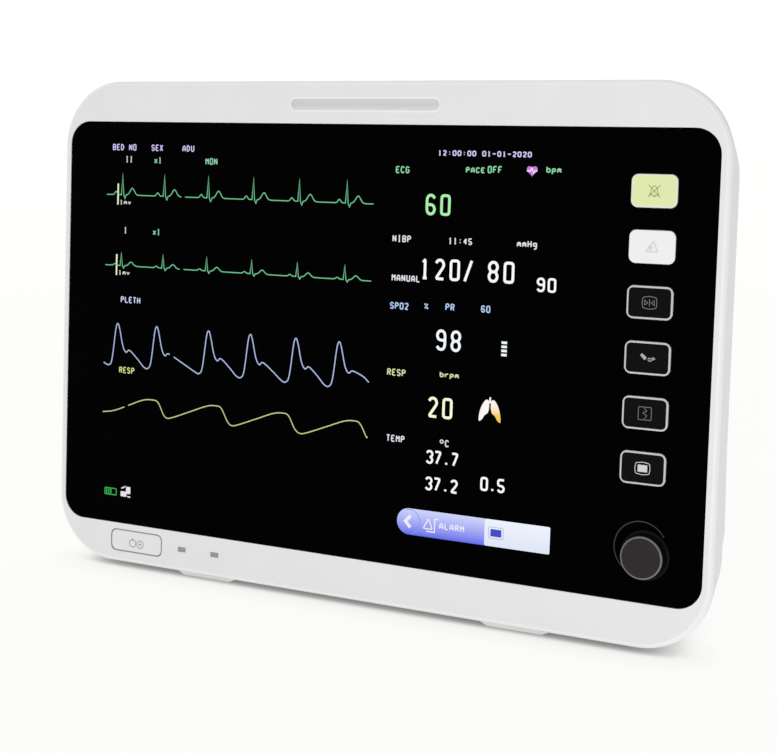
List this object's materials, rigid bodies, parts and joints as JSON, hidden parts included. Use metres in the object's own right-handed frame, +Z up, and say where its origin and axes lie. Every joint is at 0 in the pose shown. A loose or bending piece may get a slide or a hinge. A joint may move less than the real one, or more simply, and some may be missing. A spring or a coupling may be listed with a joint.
{
  "type": "patient monitor",
  "caption": "Bedside patient monitor with a wide flush-front display, push keys, a turn-and-press knob, a side recorder, a battery bay and a folding carry handle.",
  "frame": {"origin": "centre of the footprint on the table, under the feet", "axes": "+X to the right of someone facing the display, +Y from the display into the housing, +Z up; the display faces -Y and leans back 4 degrees"},
  "size_m": [0.339, 0.1388, 0.2417],
  "materials": {
    "shell": "fine-textured moulded ABS, warm white",
    "panel": "gloss acrylic, back-printed black",
    "key_lime": "satin moulded key, pale lime",
    "key_white": "satin moulded key, white",
    "key_dark": "satin moulded key, near black with a pale printed border",
    "knob": "satin moulded knob, dark brown-grey",
    "lamp": "translucent milky polycarbonate",
    "rubber": "moulded grey rubber",
    "pad": "moulded foot pad, light grey",
    "board": "solder-masked circuit board",
    "steel": "zinc-plated sheet and screws",
    "black_plastic": "moulded black plastic",
    "grey_plastic": "moulded grey plastic",
    "socket_green": "moulded green plastic",
    "socket_blue": "moulded blue plastic",
    "cell_wrap": "shrink-wrapped battery pack",
    "tube": "clear-grey silicone tube",
    "brass": "turned brass",
    "paper": "thermal paper roll"
  },
  "bodies": {
    "housing": {"front_bezel": "shell", "front_panel": "panel", "panel_gasket": "black_plastic", "key_mat": "rubber", "key_board": "board", "encoder_body": "steel", "encoder_nut": "steel", "led_windows": "lamp", "power_board": "board", "alarm_lens": "lamp", "alarm_board": "board", "display_module": "steel", "display_bracket": "steel", "bracket_screws": "steel", "display_cable": "grey_plastic", "rear_housing": "shell", "housing_screws": "steel", "chassis_plate": "steel", "main_board": "board", "parameter_board": "board", "power_supply": "board", "battery_pack": "cell_wrap", "door_pins": "steel", "nibp_pump": "steel", "nibp_valves": "black_plastic", "air_tube": "tube", "speaker": "black_plastic", "connector_panel": "grey_plastic", "ecg_socket": "socket_green", "spo2_socket": "socket_blue", "nibp_fitting": "steel", "temp_jacks": "grey_plastic", "recorder_frame": "black_plastic", "paper_spindle": "black_plastic", "print_head": "steel", "ac_inlet": "black_plastic", "ground_stud": "brass", "network_jack": "steel", "usb_jacks": "steel", "video_jack": "steel", "mount_inserts": "brass", "handle_pins": "steel", "front_feet": "pad", "rear_feet": "rubber"},
    "alarm_silence_key": {"alarm_silence_key": "key_lime"},
    "alarm_pause_key": {"alarm_pause_key": "key_white"},
    "freeze_key": {"freeze_key": "key_dark"},
    "nibp_key": {"nibp_key": "key_dark"},
    "record_key": {"record_key": "key_dark"},
    "menu_key": {"menu_key": "key_dark"},
    "encoder_plunger": {"encoder_plunger": "black_plastic"},
    "knob": {"encoder_shaft": "steel", "selector_knob": "knob"},
    "power_button": {"power_button": "shell"},
    "battery_door": {"battery_door": "shell"},
    "recorder_door": {"recorder_door": "shell"},
    "platen": {"platen_roller": "rubber"},
    "paper_roll": {"paper_roll": "paper"},
    "carry_handle": {"carry_handle": "shell"}
  },
  "joints": [
    {"name": "alarm_silence_key_press", "type": "slide", "parent": "housing", "child": "alarm_silence_key", "axis": [0, 0.9976, -0.0698], "range_m": [0, 0.0006], "stiffness_N_per_m": 800, "springref_m": -0.0004},
    {"name": "alarm_pause_key_press", "type": "slide", "parent": "housing", "child": "alarm_pause_key", "axis": [0, 0.9976, -0.0698], "range_m": [0, 0.0006], "stiffness_N_per_m": 800, "springref_m": -0.0004},
    {"name": "freeze_key_press", "type": "slide", "parent": "housing", "child": "freeze_key", "axis": [0, 0.9976, -0.0698], "range_m": [0, 0.0006], "stiffness_N_per_m": 800, "springref_m": -0.0004},
    {"name": "nibp_key_press", "type": "slide", "parent": "housing", "child": "nibp_key", "axis": [0, 0.9976, -0.0698], "range_m": [0, 0.0006], "stiffness_N_per_m": 800, "springref_m": -0.0004},
    {"name": "record_key_press", "type": "slide", "parent": "housing", "child": "record_key", "axis": [0, 0.9976, -0.0698], "range_m": [0, 0.0006], "stiffness_N_per_m": 800, "springref_m": -0.0004},
    {"name": "menu_key_press", "type": "slide", "parent": "housing", "child": "menu_key", "axis": [0, 0.9976, -0.0698], "range_m": [0, 0.0006], "stiffness_N_per_m": 800, "springref_m": -0.0004},
    {"name": "power_button_press", "type": "slide", "parent": "housing", "child": "power_button", "axis": [0, 0.9976, -0.0698], "range_m": [0, 0.0006], "stiffness_N_per_m": 800, "springref_m": -0.0004},
    {"name": "encoder_press", "type": "slide", "parent": "housing", "child": "encoder_plunger", "axis": [0, 0.9976, -0.0698], "range_m": [0, 0.0005], "stiffness_N_per_m": 1500, "springref_m": -0.0005},
    {"name": "knob_spin", "type": "hinge", "parent": "encoder_plunger", "child": "knob", "pos_m": [0.1405, -0.06213, 0.04308], "axis": [0, 0.9976, -0.0698], "continuous": true},
    {"name": "battery_door_swing", "type": "hinge", "parent": "housing", "child": "battery_door", "pos_m": [0.1332, 0.0324, 0.0201], "axis": [0, 1, 0], "range_deg": [0, 90]},
    {"name": "recorder_door_swing", "type": "hinge", "parent": "housing", "child": "recorder_door", "pos_m": [0.1332, 0.0244, 0.0861], "axis": [0, 1, 0], "range_deg": [0, 90]},
    {"name": "platen_spin", "type": "hinge", "parent": "recorder_door", "child": "platen", "pos_m": [0.126, 0.0244, 0.156], "axis": [0, 1, 0], "continuous": true},
    {"name": "paper_spin", "type": "hinge", "parent": "housing", "child": "paper_roll", "pos_m": [0.114, 0.0244, 0.112], "axis": [0, 1, 0], "continuous": true},
    {"name": "handle_swing", "type": "hinge", "parent": "housing", "child": "carry_handle", "pos_m": [0, -0.0046, 0.211], "axis": [1, 0, 0], "range_deg": [0, 90]}
  ]
}
